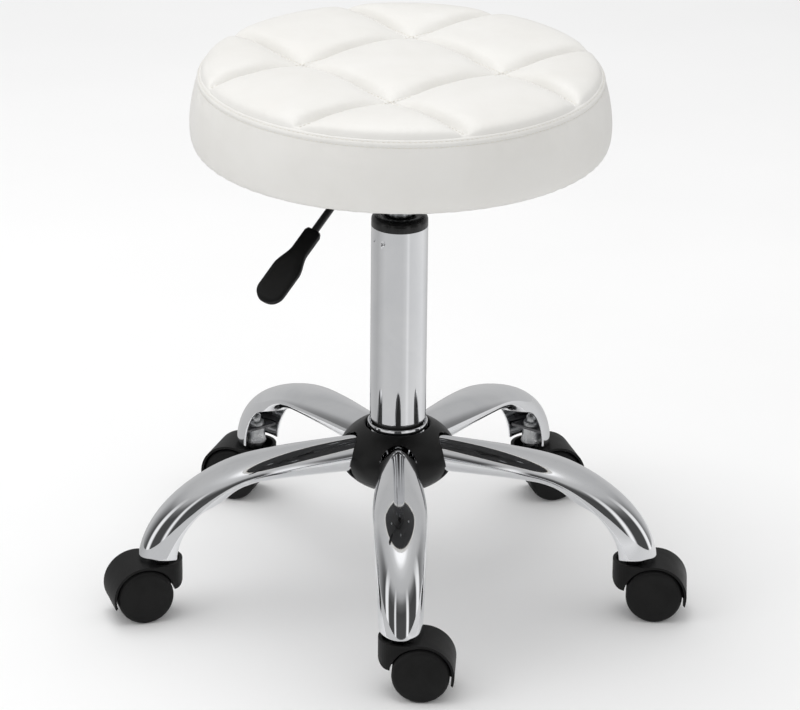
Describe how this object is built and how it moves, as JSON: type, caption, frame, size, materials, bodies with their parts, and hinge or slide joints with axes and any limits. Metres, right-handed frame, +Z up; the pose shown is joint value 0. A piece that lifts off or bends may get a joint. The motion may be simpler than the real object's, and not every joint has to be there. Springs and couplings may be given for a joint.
{
  "type": "rolling stylist stool",
  "caption": "Round quilted seat on a gas-lift column with a release lever, swivelling and rising above a chrome star base on hooded twin-wheel casters.",
  "frame": {"origin": "on the floor under the column axis", "axes": "+Z up along the column; -Y along the front leg; +X to the right when the front leg points at the viewer"},
  "size_m": [0.52, 0.4609, 0.4981],
  "materials": {
    "chrome_plate": "mirror-bright chrome plating",
    "zinc_steel": "dull zinc plating",
    "ground_steel": "ground bright steel",
    "black_steel": "black stoved paint",
    "black_plastic": "fine satin moulded texture",
    "bush_plastic": "semi-gloss moulded",
    "wheel_plastic": "matte nylon",
    "bumper_rubber": "matte",
    "seal_plastic": "matte",
    "valve_brass": "turned",
    "plywood": "unfinished ply",
    "lining_cloth": "black non-woven",
    "foam": "open-cell foam",
    "white_leather": "smooth coated leather, fine grain"
  },
  "bodies": {
    "base": {"socket_tube": "chrome_plate", "hub_cover": "black_plastic", "hub_cap": "black_plastic", "leg_front": "chrome_plate", "leg_right": "chrome_plate", "leg_back_right": "chrome_plate", "leg_back_left": "chrome_plate", "leg_left": "chrome_plate", "socket_plates": "zinc_steel", "stem_sockets": "zinc_steel", "outer_tube": "chrome_plate", "inner_tube": "black_steel", "guide_bush": "bush_plastic", "thrust_bearing": "zinc_steel"},
    "spindle": {"piston_rod": "ground_steel", "piston": "valve_brass", "retaining_clip": "zinc_steel", "rubber_bumper": "bumper_rubber"},
    "seat": {"gas_cylinder": "black_steel", "rod_gland": "seal_plastic", "valve_block": "valve_brass", "taper_socket": "black_steel", "mount_plate": "black_steel", "lever_pivot": "ground_steel", "seat_board": "plywood", "seat_bolts": "zinc_steel", "bolt_washers": "zinc_steel", "tee_nuts": "zinc_steel", "dust_cover": "lining_cloth", "seat_foam": "foam", "seat_cover": "white_leather", "side_band": "white_leather"},
    "lever": {"lever_rod": "black_steel", "lever_paddle": "black_plastic"},
    "valve": {"valve_pin": "ground_steel"},
    "caster_front": {"hood_front": "black_plastic", "stem_front": "zinc_steel", "axle_front": "zinc_steel"},
    "wheel_front_a": {"wheel_front_a": "wheel_plastic"},
    "wheel_front_b": {"wheel_front_b": "wheel_plastic"},
    "caster_right": {"hood_right": "black_plastic", "stem_right": "zinc_steel", "axle_right": "zinc_steel"},
    "wheel_right_a": {"wheel_right_a": "wheel_plastic"},
    "wheel_right_b": {"wheel_right_b": "wheel_plastic"},
    "caster_back_right": {"hood_back_right": "black_plastic", "stem_back_right": "zinc_steel", "axle_back_right": "zinc_steel"},
    "wheel_back_right_a": {"wheel_back_right_a": "wheel_plastic"},
    "wheel_back_right_b": {"wheel_back_right_b": "wheel_plastic"},
    "caster_back_left": {"hood_back_left": "black_plastic", "stem_back_left": "zinc_steel", "axle_back_left": "zinc_steel"},
    "wheel_back_left_a": {"wheel_back_left_a": "wheel_plastic"},
    "wheel_back_left_b": {"wheel_back_left_b": "wheel_plastic"},
    "caster_left": {"hood_left": "black_plastic", "stem_left": "zinc_steel", "axle_left": "zinc_steel"},
    "wheel_left_a": {"wheel_left_a": "wheel_plastic"},
    "wheel_left_b": {"wheel_left_b": "wheel_plastic"}
  },
  "joints": [
    {"name": "seat_swivel", "type": "hinge", "parent": "base", "child": "spindle", "pos_m": [0, 0, 0.106], "axis": [0, 0, 1], "continuous": true},
    {"name": "seat_height", "type": "slide", "parent": "spindle", "child": "seat", "axis": [0, 0, 1], "range_m": [-0.01, 0.11]},
    {"name": "lever_lift", "type": "hinge", "parent": "seat", "child": "lever", "pos_m": [-0.01753, -0.02053, 0.4082], "axis": [-0.7604, 0.6494, 0], "range_deg": [0, 6], "stiffness_Nm_per_rad": 0.8, "springref_deg": -8.59},
    {"name": "valve_press", "type": "slide", "parent": "seat", "child": "valve", "axis": [0, 0, -1], "range_m": [0, 0.003]},
    {"name": "caster_front_swivel", "type": "hinge", "parent": "base", "child": "caster_front", "pos_m": [0, -0.221, 0.07], "axis": [0, 0, 1], "continuous": true},
    {"name": "wheel_front_a_spin", "type": "hinge", "parent": "caster_front", "child": "wheel_front_a", "pos_m": [0.01796, -0.22226, 0.025], "axis": [0.0698, 0.9976, 0], "continuous": true},
    {"name": "wheel_front_b_spin", "type": "hinge", "parent": "caster_front", "child": "wheel_front_b", "pos_m": [0.01796, -0.22226, 0.025], "axis": [0.0698, 0.9976, 0], "continuous": true},
    {"name": "caster_right_swivel", "type": "hinge", "parent": "base", "child": "caster_right", "pos_m": [0.21018, -0.06829, 0.07], "axis": [0, 0, 1], "continuous": true},
    {"name": "wheel_right_a_spin", "type": "hinge", "parent": "caster_right", "child": "wheel_right_a", "pos_m": [0.22812, -0.06986, 0.025], "axis": [0.0872, 0.9962, 0], "continuous": true},
    {"name": "wheel_right_b_spin", "type": "hinge", "parent": "caster_right", "child": "wheel_right_b", "pos_m": [0.22812, -0.06986, 0.025], "axis": [0.0872, 0.9962, 0], "continuous": true},
    {"name": "caster_back_right_swivel", "type": "hinge", "parent": "base", "child": "caster_back_right", "pos_m": [0.1299, 0.17879, 0.07], "axis": [0, 0, 1], "continuous": true},
    {"name": "wheel_back_right_a_spin", "type": "hinge", "parent": "caster_back_right", "child": "wheel_back_right_a", "pos_m": [0.14729, 0.18345, 0.025], "axis": [-0.2588, 0.9659, 0], "continuous": true},
    {"name": "wheel_back_right_b_spin", "type": "hinge", "parent": "caster_back_right", "child": "wheel_back_right_b", "pos_m": [0.14729, 0.18345, 0.025], "axis": [-0.2588, 0.9659, 0], "continuous": true},
    {"name": "caster_back_left_swivel", "type": "hinge", "parent": "base", "child": "caster_back_left", "pos_m": [-0.1299, 0.17879, 0.07], "axis": [0, 0, 1], "continuous": true},
    {"name": "wheel_back_left_a_spin", "type": "hinge", "parent": "caster_back_left", "child": "wheel_back_left_a", "pos_m": [-0.14682, 0.18495, 0.025], "axis": [-0.342, -0.9397, 0], "continuous": true},
    {"name": "wheel_back_left_b_spin", "type": "hinge", "parent": "caster_back_left", "child": "wheel_back_left_b", "pos_m": [-0.14682, 0.18495, 0.025], "axis": [-0.342, -0.9397, 0], "continuous": true},
    {"name": "caster_left_swivel", "type": "hinge", "parent": "base", "child": "caster_left", "pos_m": [-0.21018, -0.06829, 0.07], "axis": [0, 0, 1], "continuous": true},
    {"name": "wheel_left_a_spin", "type": "hinge", "parent": "caster_left", "child": "wheel_left_a", "pos_m": [-0.22749, -0.07325, 0.025], "axis": [0.2756, -0.9613, 0], "continuous": true},
    {"name": "wheel_left_b_spin", "type": "hinge", "parent": "caster_left", "child": "wheel_left_b", "pos_m": [-0.22749, -0.07325, 0.025], "axis": [0.2756, -0.9613, 0], "continuous": true}
  ],
  "couplings": [
    {"joint": "valve_press", "follows": "lever_lift", "m_per_rad": 0.027}
  ]
}
